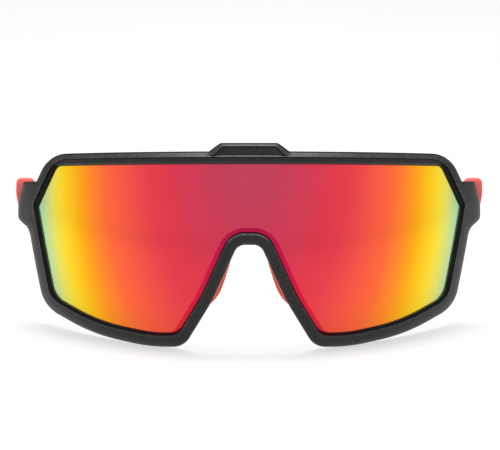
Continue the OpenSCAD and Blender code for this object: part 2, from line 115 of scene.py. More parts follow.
# ---------------------------------------------------------------- materials
def new_material(name):
    mat = bpy.data.materials.new(name)
    mat.use_nodes = True
    tree = mat.node_tree
    shader = tree.nodes["Principled BSDF"]
    return mat, tree, shader


def node(tree, kind, **inputs):
    made = tree.nodes.new(kind)
    for key, value in inputs.items():
        if key in made.inputs:
            made.inputs[key].default_value = value
        else:
            setattr(made, key, value)
    return made


def noise(tree, scale, detail=3.0, rough=0.55):
    coords = tree.nodes.new("ShaderNodeTexCoord")
    made = node(tree, "ShaderNodeTexNoise", Scale=scale, Detail=detail, Roughness=rough)
    tree.links.new(coords.outputs["Object"], made.inputs["Vector"])
    return made.outputs["Fac"]


def ramp(tree, source, stops):
    made = tree.nodes.new("ShaderNodeValToRGB")
    line = made.color_ramp
    while len(line.elements) < len(stops):
        line.elements.new(0.5)
    for element, (place, colour) in zip(line.elements, stops):
        element.position = place
        element.color = (*colour, 1.0)
    tree.links.new(source, made.inputs["Fac"])
    return made.outputs["Color"]


def grey(value):
    return (value, value, value)


def bump(tree, shader, source, strength, distance):
    made = node(tree, "ShaderNodeBump", Strength=strength, Distance=distance)
    tree.links.new(source, made.inputs["Height"])
    tree.links.new(made.outputs["Normal"], shader.inputs["Normal"])


def mix_colour(tree, amount, low, high):
    made = tree.nodes.new("ShaderNodeMix")
    made.data_type = "RGBA"
    tree.links.new(amount, made.inputs[0])
    for socket, value in ((made.inputs[6], low), (made.inputs[7], high)):
        if isinstance(value, tuple):
            socket.default_value = (*value, 1.0)
        else:
            tree.links.new(value, socket)
    return made.outputs[2]


def times_colour(tree, first, second):
    made = tree.nodes.new("ShaderNodeMix")
    made.data_type, made.blend_type = "RGBA", "MULTIPLY"
    made.inputs[0].default_value = 1.0
    tree.links.new(first, made.inputs[6])
    tree.links.new(second, made.inputs[7])
    return made.outputs[2]


def hex_colour(code):
    """sRGB hex to linear."""
    parts = [int(code[i:i + 2], 16) / 255 for i in (0, 2, 4)]
    return tuple(c / 12.92 if c <= 0.04045 else ((c + 0.055) / 1.055) ** 2.4 for c in parts)


def moulded(name, low, high, rough, grain, wear_and_highlight=None, specular=0.5):
    """Moulded plastic: mottled colour, fine grain, and paler places where the mesh marks wear and painted
    highlight.
    """
    mat, tree, shader = new_material(name)
    colour = ramp(tree, noise(tree, 260.0, 4.0), [(0.3, low), (0.7, high)])
    if wear_and_highlight:
        # the mark's paler colour is real wear along the edges, and painted highlight on the top facet and
        # the nose arch's ridge
        mark = node(tree, "ShaderNodeAttribute", attribute_name="wear_and_highlight")
        spots = ramp(tree, noise(tree, 900.0, 5.0), [(0.35, grey(0.1)), (0.65, grey(1.0))])
        times = node(tree, "ShaderNodeMath", operation="MULTIPLY")
        tree.links.new(mark.outputs["Fac"], times.inputs[0])
        tree.links.new(spots, times.inputs[1])
        colour = mix_colour(tree, times.outputs[0], colour, wear_and_highlight)
    tree.links.new(colour, shader.inputs["Base Color"])
    patches = ramp(tree, noise(tree, 420.0), [(0.3, grey(rough - 0.05)), (0.7, grey(rough + 0.05))])
    tree.links.new(patches, shader.inputs["Roughness"])
    shader.inputs["Specular IOR Level"].default_value = specular
    bump(tree, shader, noise(tree, 5200.0, 2.0), grain, 0.00004)
    return mat


def rubber(name, low, high, painted_highlight=None):
    mat, tree, shader = new_material(name)
    colour = ramp(tree, noise(tree, 380.0, 5.0), [(0.3, low), (0.72, high)])
    if painted_highlight:
        # painted highlight: a pale strip along the pad's edge beside the rim
        mark = node(tree, "ShaderNodeAttribute", attribute_name="painted_highlight")
        colour = mix_colour(tree, mark.outputs["Fac"], colour, painted_highlight)
    tree.links.new(colour, shader.inputs["Base Color"])
    patches = ramp(tree, noise(tree, 700.0), [(0.3, grey(0.58)), (0.7, grey(0.74))])
    tree.links.new(patches, shader.inputs["Roughness"])
    shader.inputs["Sheen Weight"].default_value = 0.12
    shader.inputs["Sheen Roughness"].default_value = 0.5
    bump(tree, shader, noise(tree, 3600.0, 3.0), 0.35, 0.00006)
    return mat


def steel(name, tint):
    mat, tree, shader = new_material(name)
    coords = tree.nodes.new("ShaderNodeTexCoord")
    stretch = node(tree, "ShaderNodeMapping", Scale=(1.0, 1.0, 14.0))
    tree.links.new(coords.outputs["Object"], stretch.inputs["Vector"])
    lines = node(tree, "ShaderNodeTexNoise", Scale=1500.0, Detail=3.0)
    tree.links.new(stretch.outputs["Vector"], lines.inputs["Vector"])
    shade = ramp(tree, lines.outputs["Fac"], [(0.3, tuple(c * 0.78 for c in tint)), (0.7, tint)])
    tree.links.new(shade, shader.inputs["Base Color"])
    patches = ramp(tree, lines.outputs["Fac"], [(0.3, grey(0.24)), (0.7, grey(0.38))])
    tree.links.new(patches, shader.inputs["Roughness"])
    shader.inputs["Metallic"].default_value = 1.0
    bump(tree, shader, lines.outputs["Fac"], 0.2, 0.00002)
    return mat


# Mirror tint from the middle of the lens outwards: distance in mm, colour. BAND_TINT is the same for
# the lens's bevelled edge.
MIRROR = [
    (0, "bd4057"), (9, "c43d55"), (18, "d23a52"), (24, "db3949"), (30, "e43e49"), (34, "ea4a48"),
    (39.5, "f75c40"), (44, "fc6b37"), (49, "fe8d24"), (52, "fca712"), (55.5, "fbc614"),
    (58.7, "f8d92e"), (61.5, "e3de60"), (64, "bcd894"), (66, "9ed2a6"),
]
BAND_TINT = [
    (0, "a30f3d"), (10, "ae1240"), (20, "c21140"), (30, "d81838"), (36, "dc2c34"), (43, "98607c"),
    (50, "8088a0"), (66, "8c9c9c"),
]
MIRROR_REACH = 72.0
# The bands of tint bend below the middle. With low as the depth below it in units of MIRROR_LOW,
# distance squared is x squared plus SPREAD[0] + SPREAD[1] * low + SPREAD[2] * low squared.
MIRROR_LOW = 34.0
SPREAD = (27.0, 335.0, 340.0)


def mirror_material(name, table):
    """Mirror coating: its tint follows the mesh's "reach", and darkens with "low", a painted shade
    towards the lens's lower part.
    """
    mat, tree, shader = new_material(name)
    mark = node(tree, "ShaderNodeAttribute", attribute_name="reach")
    stops = [(r / MIRROR_REACH, hex_colour(code)) for r, code in table]
    colour = ramp(tree, mark.outputs["Fac"], stops)
    cloud = ramp(tree, noise(tree, 45.0, 2.0), [(0.3, grey(0.965)), (0.7, grey(1.0))])
    # painted shade: the tint darkens towards the lens's lower part
    lower = node(tree, "ShaderNodeAttribute", attribute_name="low")
    shade = ramp(tree, lower.outputs["Fac"], [(0.0, grey(1.0)), (0.3, grey(0.97)), (1.0, grey(0.86))])
    tint = times_colour(tree, times_colour(tree, colour, cloud), shade)
    tree.links.new(tint, shader.inputs["Base Color"])
    patches = ramp(tree, noise(tree, 160.0), [(0.3, grey(0.13)), (0.7, grey(0.17))])
    tree.links.new(patches, shader.inputs["Roughness"])
    shader.inputs["Metallic"].default_value = 0.9
    return mat


def plain_gloss(name, low, high, rough):
    mat, tree, shader = new_material(name)
    colour = ramp(tree, noise(tree, 120.0, 3.0), [(0.3, low), (0.7, high)])
    tree.links.new(colour, shader.inputs["Base Color"])
    patches = ramp(tree, noise(tree, 300.0), [(0.3, grey(rough)), (0.7, grey(rough + 0.05))])
    tree.links.new(patches, shader.inputs["Roughness"])
    return mat


BLACK = moulded("black_nylon", grey(0.007), grey(0.012), 0.38, 0.35, grey(0.15), 0.26)
# a darker copy of the black nylon: painted shade on the inner bevels, the step below the ridge and the
# top's outer edge line
BEVEL_PAINTED_SHADE = moulded("black_bevel_painted_shade", grey(0.003), grey(0.005), 0.5, 0.3, None, 0.12)
BEVEL_GLOSS = moulded("black_low_bevel", grey(0.005), grey(0.009), 0.2, 0.15, None, 0.4)
PANEL_BLACK = moulded("panel_black", grey(0.009), grey(0.014), 0.5, 0.6, None, 0.2)
CARRIER_BLACK = moulded("carrier_black", grey(0.02), grey(0.03), 0.45, 0.5)
CORAL = moulded("coral_arm", (0.66, 0.085, 0.07), (0.74, 0.105, 0.085), 0.38, 0.25, None, 0.4)
CORAL_RUBBER = rubber("coral_rubber", (0.48, 0.045, 0.035), (0.58, 0.07, 0.05))
PAD_RUBBER = rubber("pad_rubber_orange", (0.50, 0.035, 0.018), (0.62, 0.055, 0.028), (0.85, 0.26, 0.17))
STEEL = steel("brushed_steel", (0.62, 0.63, 0.65))
SCREW_STEEL = steel("polished_steel", (0.72, 0.73, 0.75))
MIRROR_FRONT = mirror_material("mirror_front", MIRROR)
BAND = mirror_material("lens_bevel_crimson", BAND_TINT)
LENS_BACK = plain_gloss("lens_back_smoke", (0.016, 0.010, 0.009), (0.022, 0.014, 0.012), 0.06)


# ---------------------------------------------------------------- mesh helpers
def add_piece(name, points, faces, materials, body, replaced, face_mats=None,
              sharp=32.0, marks=None):
    """A piece from level-frame points and faces, riding on its body and standing for its node."""
    mesh = bpy.data.meshes.new(name)
    mesh.from_pydata([tuple(p) for p in to_row(points)], [], [tuple(f) for f in faces])
    for mat in materials:
        mesh.materials.append(mat)
    if face_mats is not None:
        mesh.polygons.foreach_set("material_index", list(face_mats))
    for key, values in (marks or {}).items():
        mesh.attributes.new(key, "FLOAT", "POINT").data.foreach_set("value", list(values))
    tidy = bmesh.new()
    tidy.from_mesh(mesh)
    bmesh.ops.remove_doubles(tidy, verts=tidy.verts, dist=0.000008)
    bmesh.ops.dissolve_degenerate(tidy, edges=tidy.edges, dist=0.000008)
    bmesh.ops.recalc_face_normals(tidy, faces=tidy.faces)
    tidy.to_mesh(mesh)
    tidy.free()
    mesh.shade_smooth()
    mesh.set_sharp_from_angle(angle=math.radians(sharp))
    piece = bpy.data.objects.new(name, mesh)
    bpy.context.scene.collection.objects.link(piece)
    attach(piece, body)
    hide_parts(*replaced)
    return piece


def loft(rings):
    """Points and faces of a closed tube through equal-length rings."""
    n = len(rings[0])
    points = np.concatenate(rings)
    faces = []
    for k in range(len(rings) - 1):
        for i in range(n):
            j = (i + 1) % n
            faces.append((k * n + i, k * n + j, (k + 1) * n + j, (k + 1) * n + i))
    last = (len(rings) - 1) * n
    faces.append(tuple(range(n - 1, -1, -1)))
    faces.append(tuple(last + i for i in range(n)))
    return points, faces


# ---------------------------------------------------------------- camera and light
def make_camera():
    data = bpy.data.cameras.new("camera")
    data.sensor_width = 36.0
    data.sensor_fit = "HORIZONTAL"
    distance, frame_width = 700.0, 150.0
    at_x, at_z = 0.25, 37.4
    data.lens = data.sensor_width * distance / frame_width
    data.clip_start, data.clip_end = 0.01, 50.0
    camera = bpy.data.objects.new("camera", data)
    bpy.context.scene.collection.objects.link(camera)
    place = to_row([[at_x, -distance, at_z]])[0]
    turn = Matrix((LEVEL_X, LEVEL_Z, -LEVEL_Y)).transposed().to_4x4()
    camera.matrix_world = Matrix.Translation(Vector(place)) @ turn
    bpy.context.scene.camera = camera


def make_light(name, at, aim, size, power):
    data = bpy.data.lights.new(name, "AREA")
    data.shape = "RECTANGLE"
    data.size, data.size_y = size
    data.energy = power
    lamp = bpy.data.objects.new(name, data)
    bpy.context.scene.collection.objects.link(lamp)
    place = Vector(to_row([at])[0])
    lamp.location = place
    lamp.rotation_mode = "QUATERNION"
    lamp.rotation_quaternion = (Vector(to_row([aim])[0]) - place).to_track_quat("-Z", "Y")


def make_world():
    world = bpy.data.worlds.new("studio")
    bpy.context.scene.world = world
    world.use_nodes = True
    tree = world.node_tree
    tree.nodes.clear()
    coords = tree.nodes.new("ShaderNodeTexCoord")
    along = node(tree, "ShaderNodeVectorMath", operation="DOT_PRODUCT")
    along.inputs[1].default_value = tuple(-LEVEL_Y)
    tree.links.new(coords.outputs["Generated"], along.inputs[0])
    half = node(tree, "ShaderNodeMath", operation="MULTIPLY_ADD")
    half.inputs[1].default_value = 0.5
    half.inputs[2].default_value = 0.5
    tree.links.new(along.outputs["Value"], half.inputs[0])
    wrap = ramp(tree, half.outputs[0], [
        (0.0, grey(0.2)), (0.15, grey(0.26)), (0.3, grey(0.42)), (0.42, grey(1.0)), (1.0, grey(1.04)),
    ])
    lit = tree.nodes.new("ShaderNodeBackground")
    tree.links.new(wrap, lit.inputs["Color"])
    seen = tree.nodes.new("ShaderNodeBackground")
    seen.inputs["Color"].default_value = (1, 1, 1, 1)
    path = tree.nodes.new("ShaderNodeLightPath")
    mix = tree.nodes.new("ShaderNodeMixShader")
    out = tree.nodes.new("ShaderNodeOutputWorld")
    tree.links.new(path.outputs["Is Camera Ray"], mix.inputs[0])
    tree.links.new(lit.outputs[0], mix.inputs[1])
    tree.links.new(seen.outputs[0], mix.inputs[2])
    tree.links.new(mix.outputs[0], out.inputs["Surface"])


def make_floor():
    mesh = bpy.data.meshes.new("floor")
    reach = 3.0
    mesh.from_pydata([(-reach, -reach, 0), (reach, -reach, 0), (reach, reach, 0), (-reach, reach, 0)],
                     [], [(0, 1, 2, 3)])
    floor = bpy.data.objects.new("floor", mesh)
    floor.location.z = -0.00002
    bpy.context.scene.collection.objects.link(floor)
    mat, tree, shader = new_material("pale_floor")
    colour = ramp(tree, noise(tree, 3.0), [(0.3, grey(0.3)), (0.7, grey(0.32))])
    tree.links.new(colour, shader.inputs["Base Color"])
    shader.inputs["Roughness"].default_value = 0.9
    shader.inputs["Specular IOR Level"].default_value = 0.1
    shader.inputs["Emission Color"].default_value = (1.0, 1.0, 1.0, 1.0)
    shader.inputs["Emission Strength"].default_value = 0.64
    mesh.materials.append(mat)


bpy.context.scene.view_settings.view_transform = "Standard"
make_camera()
make_world()
make_floor()
make_light("overhead", (0, -40, 640), (0, 20, 40), (0.44, 0.30), 3.6)


# ---------------------------------------------------------------- rim outline with matching stations
def stretch_names():
    names = [c[3] for c in CORNERS]
    return ["nose"] + names      # names[i] runs into corner i, names[i + 1] leaves it


def offset_corner(i, inset):
    """Corner i of the rim's edge moved inwards by each stretch's inset, and its radius."""
    pts = [np.array([-CORNERS[0][0], CORNERS[0][1]])] + [np.array(c[:2]) for c in CORNERS]
    pts.append(np.array([-CORNERS[-1][0], CORNERS[-1][1]]))
    names = stretch_names()
    p = pts[i + 1]
    into, out = p - pts[i], pts[i + 2] - p
    into, out = into / np.linalg.norm(into), out / np.linalg.norm(out)
    n0, n1 = np.array([-into[1], into[0]]), np.array([-out[1], out[0]])
    c0, c1 = n0 @ p + inset[names[i]], n1 @ p + inset[names[i + 1]]
    det = n0[0] * n1[1] - n0[1] * n1[0]
    moved = (inset[names[i]] + inset[names[i + 1]]) / 2
    r = max(CORNERS[i][2] - moved, SMALLEST_R) if det > 0 else CORNERS[i][2] + moved
    if i == NOSE_FOOT:       # the lens opening is rounder there than the inset alone would make it
        r = CORNERS[i][2] - 0.6 * moved
    if i == TOP_CORNER:      # and crisper at the top, from an inset of 2.05 on
        r -= 3.2 * min(1.0, max(0.0, (moved - 2.05) / 1.9))
    return np.array([(c0 * n1[1] - c1 * n0[1]) / det, (n0[0] * c1 - n1[0] * c0) / det]), r


def corner_arc(a, b, c, r, steps):
    """Points of the arc of radius r that rounds corner b between a and c."""
    u, v = (a - b) / np.linalg.norm(a - b), (c - b) / np.linalg.norm(c - b)
    half = math.acos(float(u @ v)) / 2
    reach = min(r / math.tan(half), 0.48 * min(np.linalg.norm(a - b), np.linalg.norm(c - b)))
    radius = reach * math.tan(half)
    middle = b + (u + v) / np.linalg.norm(u + v) * radius / math.sin(half)
    start, end = b + u * reach - middle, b + v * reach - middle
    way = math.copysign(1.0, start[0] * end[1] - start[1] * end[0])
    angles = way * (math.pi - 2 * half) * np.linspace(0, 1, steps + 1)
    co, si = np.cos(angles), np.sin(angles)
    return middle + np.stack([start[0] * co - start[1] * si, start[0] * si + start[1] * co], 1)


# Places that need a station of their own: x on the top edge, round the bump, and z on the slant.
TOP_MARKS = [14.0, 13.0, 12.4, 12.1, 11.9, 11.4, 10.8, 10.7, 10.4, 9.8, 9.1, 8.7, 8.3, 7.9, 7.5, 4.0, 0.0]
SLANT_MARKS = [LUG_TOP - 0.5, LUG_TOP - 0.28, LUG_TOP - 0.12, LUG_TOP - 0.02, LUG_TOP, LUG_TOP]
ARCH_STEPS = 5
SPACING = {"nose": 0.9, "low": 0.9, "side": 0.55, "slant": 0.55, "top": 0.9}


def stretch_fractions(start, end, name):
    """Where the stations lie on a straight stretch, as shares of its length on the outer edge."""
    if name == "top":
        marks = [(start[0] - x) / start[0] for x in TOP_MARKS]
    elif name == "slant":
        marks = [(z - start[1]) / (end[1] - start[1]) for z in SLANT_MARKS]
    else:
        marks = []
    length = np.linalg.norm(end - start)
    stops = [0.0] + marks + ([] if name == "top" else [1.0])
    found = []
    for a, b in zip(stops, stops[1:]):
        if b - a < 1e-9:
            found.append(b)
            continue
        n = max(1, math.ceil((b - a) * length / SPACING[name] - 1e-6))
        found += [a + (b - a) * k / n for k in range(1, n + 1)]
    return found if name == "top" else found[:-1]


def half_loop(inset, fractions=None):
    """Right half of the rim's outline from the nose arch's middle to the top's middle."""
    corners = [offset_corner(i, inset) for i in range(len(CORNERS))]
    pts = [np.array([-corners[0][0][0], corners[0][0][1]])] + [c[0] for c in corners]
    pts.append(np.array([-corners[-1][0][0], corners[-1][0][1]]))
    arcs = [corner_arc(pts[i], pts[i + 1], pts[i + 2], corners[i][1], ARC_STEPS[i])
            for i in range(len(CORNERS))]
    names = stretch_names()
    made_fractions = fractions is None
    fractions = [] if made_fractions else fractions
    first = arcs[0][0]
    found = [[first[0] * k / ARCH_STEPS, first[1]] for k in range(ARCH_STEPS)]
    for i, arc in enumerate(arcs):
        found += arc.tolist()
        start = arc[-1]
        end = arcs[i + 1][0] if i + 1 < len(arcs) else np.array([0.0, start[1]])
        if made_fractions:
            fractions.append(stretch_fractions(start, end, names[i + 1]))
        found += [(start + (end - start) * f).tolist() for f in fractions[i]]
    return np.array(found), fractions


def station_blend(fractions):
    """For each station of the half loop: the stretches before and after, and how far between."""
    names = stretch_names()
    found = [("nose", "nose", 0.0)] * ARCH_STEPS
    for i, steps in enumerate(ARC_STEPS):
        found += [(names[i], names[i + 1], float(smooth(k / steps))) for k in range(steps + 1)]
        found += [(names[i + 1], names[i + 1], 0.0)] * len(fractions[i])
    return found


NONE = {k: 0.0 for k in WIDTH}
EDGE_HALF, FRACTIONS = half_loop(NONE)
BLEND = station_blend(FRACTIONS)
COUNT = len(EDGE_HALF)


def per_station(table):
    """A stretch's value at each station, eased from one stretch to the next round their corner."""
    return np.array([table[a] * (1 - w) + table[b] * w for a, b, w in BLEND])


def ring_at(inset):
    """Half loop at an inset: one number, or one for each stretch."""
    table = inset if isinstance(inset, dict) else {k: float(inset) for k in WIDTH}
    return half_loop(table, FRACTIONS)[0]


def less(table, amount):
    return {k: v - amount for k, v in table.items()}


def mirrored(half):
    """The whole loop from its right half, whose two ends lie on x = 0."""
    left = half[-2:0:-1].copy()
    left[:, 0] *= -1
    return np.concatenate([half, left])


# ---------------------------------------------------------------- front frame
# The rim is a loft of rings, named in RINGS from its outer edge over the front, the lens groove and
# the back. Tables ending in _R hold the radius of the sphere that a ring lies on, the others insets.
RINGS = ["O", "O1", "A", "U1", "U2", "V2", "V1", "C", "C1", "D", "E", "E1", "F", "G", "H", "I",
         "J", "K", "K1", "L", "L1", "L2", "L3", "N2", "N1", "N"]
EDGE_R = {"nose": 85.75, "low": 85.55, "side": 85.8, "slant": 85.6, "top": 85.35}
CROWN = {"nose": 0.05, "low": 0.22, "side": 0.1, "slant": 0.1, "top": 0.02}
STEP_IN = {"nose": 0.1, "low": 0.2, "side": 0.35, "slant": 0.35, "top": 0.35}
STEP_R = {"nose": 85.95, "low": 85.8, "side": 85.75, "slant": 85.75, "top": 85.8}
LIP_R = {"nose": 85.6, "low": 85.4, "side": 85.4, "slant": 85.45, "top": 85.7}
WALL = {"nose": 0.25, "low": 0.3, "side": 0.3, "slant": 0.3, "top": 0.6}
# Outer edge of the lug, from the rim below it up to its top: height, distance from the middle.
LUG_SIDE = [(30.0, 0.0), (34.8, 69.25), (36.0, 69.75), (36.9, 70.35), (37.5, 71.1), (38.2, 72.0),
            (39.0, 72.9), (39.6, 73.35), (40.4, 73.5), (43.5, 73.45), (46.5, 72.85), (51.1, 71.65)]
LUG_SIDE_Z = np.array([p[0] for p in LUG_SIDE])
LUG_SIDE_X = np.array([p[1] for p in LUG_SIDE])
LUG_TOP_ROUND = 0.45
FACET = (("U1", 0.22), ("U2", 0.34), ("V2", 0.6), ("V1", 0.8))      # ring, share of the way to C
# Rounded edges: ring, its inset, and how far its sphere lies inside (front) or outside (back) the face.
FRONT_EDGE = (("O", 0.0, 0.8), ("O1", 0.13, 0.28), ("A", 0.42, 0.0))
BACK_EDGE = (("N", 0.0, 0.4), ("N1", 0.12, 0.12), ("N2", 0.4, 0.0))


def bump_height(x):
    """How far the brow bump stands above the rim's top, with its upper corners eased."""
    x = np.abs(x)
    slope = BUMP_H / (BUMP_FOOT - BUMP_TOP)
    raw = np.clip((BUMP_FOOT - x) * slope, 0, BUMP_H)
    soft = 0.35
    near_top = np.abs(x - BUMP_TOP) < soft
    eased = BUMP_H - slope * (x - (BUMP_TOP - soft)) ** 2 / (4 * soft)
    return np.where(near_top, eased, raw)


def rounding(gap, r):
    """How far an edge rounded with radius r has fallen back at a distance gap from its end."""
    return r - math.sqrt(max(0.0, r**2 - max(0.0, r - gap) ** 2))


def bevel_material(ring, stretch):
    """0 nylon, 1 near-black bevel with painted shade, 2 glossy bevel for the faces that start at a ring.
    """
    if stretch in ("side", "slant"):
        return 1 if ring in ("C1", "D", "E", "E1", "F") else 0
    if stretch == "top":
        return 1 if ring in ("O", "O1", "C1") else (2 if ring in ("E", "E1", "F") else 0)
    if ring in ("E", "E1", "F"):
        return 1
    return 2 if ring in ("C1", "D") and stretch == "low" else 0


def build_front():
    edge = EDGE_HALF
    sx, sz = edge[:, 0], edge[:, 1]
    ra, rc = per_station(EDGE_R), np.full(COUNT, FRONT_R)
    rings = {}

    def put(name, xz, r):
        rings[name] = on_sphere(xz, r)

    for name, inset, fall in FRONT_EDGE:
        put(name, ring_at(inset), ra - fall)
    start, ridge = ring_at(FRONT_EDGE[-1][1]), ring_at(RIDGE)
    crown = per_station(CROWN)
    for name, f in FACET:
        put(name, start + (ridge - start) * f, ra + (rc - ra) * f + crown * 4 * f * (1 - f))
    put("C", ridge, rc)
    put("C1", ring_at({k: RIDGE[k] + 0.1 for k in RIDGE}), rc - 0.06)
    put("D", ring_at({k: RIDGE[k] + STEP_IN[k] for k in RIDGE}), per_station(STEP_R))
    lip = per_station(LIP_R)
    put("E", ring_at({k: WIDTH[k] - WALL[k] for k in WIDTH}), lip)
    put("E1", ring_at({k: WIDTH[k] - 0.8 * WALL[k] for k in WIDTH}), lip - 0.1)
    put("F", ring_at(WIDTH), LENS_R + 0.11)
    put("G", ring_at(WIDTH), LENS_R + 0.07)
    put("H", ring_at(less(WIDTH, GROOVE)), LENS_R + 0.07)
    put("I", ring_at(less(WIDTH, GROOVE)), SEAT_R - 0.05)
    put("J", ring_at(WIDTH), SEAT_R - 0.05)
    put("K", ring_at(WIDTH), REAR_R + 0.3)
    put("K1", ring_at(less(WIDTH, 0.09)), REAR_R + 0.09)
    put("L", ring_at(less(WIDTH, 0.3)), REAR_R)
    inner, outer = ring_at(less(WIDTH, 0.6)), ring_at(0.7)
    for name, f in (("L1", 0.0), ("L2", 0.3), ("L3", 0.8)):
        put(name, inner + (outer - inner) * f, REAR_R)
    for name, inset, rise in BACK_EDGE:
        put(name, ring_at(inset), REAR_R + rise)

    # the brow bump and the pocket of its panel
    top = np.abs(sz - FRONT_H) < 1e-6
    h = np.where(top, bump_height(sx), 0.0)
    side = np.where((sx > BUMP_TOP) & (sx < BUMP_FOOT), 1.24, 1.0)
    blend = np.where(top, smooth((13.6 - sx) / 2.8), 0.0)
    lip_side = PANEL_LOW + (PANEL_FOOT - sx) * (PANEL_HIGH - PANEL_LOW) / (PANEL_FOOT - PANEL_TOP)
    lip_high = np.clip(np.minimum(PANEL_HIGH, lip_side), PANEL_LOW, None)
    for i in np.nonzero(top & (sx < 14.5))[0]:
        x, z_out, b = sx[i], FRONT_H + h[i], blend[i]
        in_pocket = x < PANEL_FOOT
        lip_r = 85.88 + 0.42 * min(1.0, (z_out - 0.42 * side[i] - lip_high[i]) / 0.6)
        round_r = max(0.0, b - 0.2) / 0.8
        goal = {
            "O": (z_out, 84.55 + 0.85 * round_r),
            "O1": (z_out - 0.13 * side[i], 85.07 + 0.69 * round_r),
            "A": (z_out - 0.42 * side[i], 85.35 + 0.53 * round_r),
            "U1": (lip_high[i], lip_r),
            "U2": (lip_high[i], 85.15 if in_pocket else lip_r - 0.02),
            "V2": (PANEL_LOW, 85.15 if in_pocket else 85.93), "V1": (PANEL_LOW, 85.95),
        }
        for name, (z, r) in goal.items():
            old = rings[name][i]
            old_r = math.sqrt(x * x + (LENS_R - old[1]) ** 2 + (old[2] - CENTRE_Z) ** 2)
            z_new = z if name in ("O", "O1", "A") else old[2] * (1 - b) + z * b
            r_new = r if in_pocket else old_r * (1 - b) + r * b
            rings[name][i] = (x, depth(x, z_new, r_new), z_new)
        for name, inset, rise in BACK_EDGE:
            z = z_out - inset
            rings[name][i] = (x, depth(x, z, REAR_R + rise), z)

    # the lugs: the outer edge runs out sideways, and the back grows to the hinge face
    doubled = [i for i in range(COUNT - 1)
               if np.allclose(edge[i], edge[i + 1]) and abs(sz[i] - LUG_TOP) < 1e-6]
    for i in range(doubled[0] + 1):
        z = sz[i]
        if z < 33.0 or sx[i] < 60:
            continue
        out_x = max(sx[i], float(np.interp(z, LUG_SIDE_Z, LUG_SIDE_X)))
        g = float(smooth((z - 33.5) / 5.5))
        drop = LUG_TOP - z
        trim = rounding(drop, LUG_TOP_ROUND)
        out_x -= trim
        grown = smooth((out_x - sx[i]) / 2.5)
        edge_r = ra[i] + (85.95 - ra[i]) * grown - trim
        for name, inset, fall in FRONT_EDGE:
            x = out_x - inset
            if out_x > sx[i]:
                rings[name][i] = (x, depth(x, z, edge_r - fall), z)
        a, c = rings["A"][i], rings["C"][i]
        for name, f in FACET:
            x, zz = a[0] + (c[0] - a[0]) * f, a[2] + (c[2] - a[2]) * f
            r = edge_r + (FRONT_R - edge_r) * min(1, f * 1.3) + crown[i] * 4 * f * (1 - f) * (1 - grown)
            rings[name][i] = (x, depth(x, zz, min(r, FRONT_R + 0.1)), zz)
        back = LUG_BACK - trim
        block = {
            "N": (out_x, back - 0.4), "N1": (out_x - 0.12, back - 0.12), "N2": (out_x - 0.4, back),
            "L3": (LUG_IN + 0.4 + trim, back), "L2": (LUG_IN + trim, back - 0.4),
            "L1": (LUG_IN + trim, float(depth(LUG_IN, z, REAR_R))),
        }
        for name, (x, y) in block.items():
            old = rings[name][i]
            rings[name][i] = old + (np.array([x, y, z]) - old) * g

    loops = [mirrored(rings[name]) for name in RINGS]
    n, m = len(loops[0]), len(loops)
    points = np.concatenate(loops)
    stretches = [a if w < 0.5 else b for a, b, w in BLEND]
    stretches = stretches + stretches[-2:0:-1]
    faces, mats = [], []
    for k in range(m):
        nxt = (k + 1) % m
        for i in range(n):
            j = (i + 1) % n
            faces.append((k * n + i, k * n + j, nxt * n + j, nxt * n + i))
            mats.append(bevel_material(RINGS[k], stretches[i]))
    add_piece("front_frame_body", points, faces, [BLACK, BEVEL_PAINTED_SHADE, BEVEL_GLOSS], "front",
              ["front_frame"], mats, 30.0, {"wear_and_highlight": edge_wear_and_highlight(loops)})


def edge_wear_and_highlight(loops):
    """Wear along the rim's edges, and painted highlight: a paler top facet and a bright ridge over the
    nose arch.
    """
    wear_and_highlight = {name: np.zeros(len(loop)) for name, loop in zip(RINGS, loops)}
    for name, amount in (("O1", 0.15), ("A", 0.12), ("C", 0.22), ("N1", 0.12), ("E1", 0.1)):
        wear_and_highlight[name][:] = amount
    ridge = loops[RINGS.index("C")]
    # painted highlight: the bright line along the ridge over the nose arch
    wear_and_highlight["C"][(np.abs(ridge[:, 0]) < 6.5) & (ridge[:, 2] > 30.0) & (ridge[:, 2] < 40.0)] = 1.2
    # painted highlight: the top facet paler, as where the overhead light falls on it
    for name in ("A", "U1", "U2", "V2", "V1"):
        wear_and_highlight[name][loops[RINGS.index(name)][:, 2] > FRONT_H - 3.0] = 0.16
    return np.concatenate([wear_and_highlight[name] for name in RINGS])


build_front()


# ---------------------------------------------------------------- shield lens
BAND_FALL = {"nose": 0.3, "low": 0.08, "side": 0.2, "slant": 0.2, "top": 0.2}
BAND_IN = {"nose": 1.4, "low": 0.55, "side": 0.12, "slant": 0.12, "top": 0.12}
FIELD_STEP, FIELD_MARGIN = 1.6, 0.8


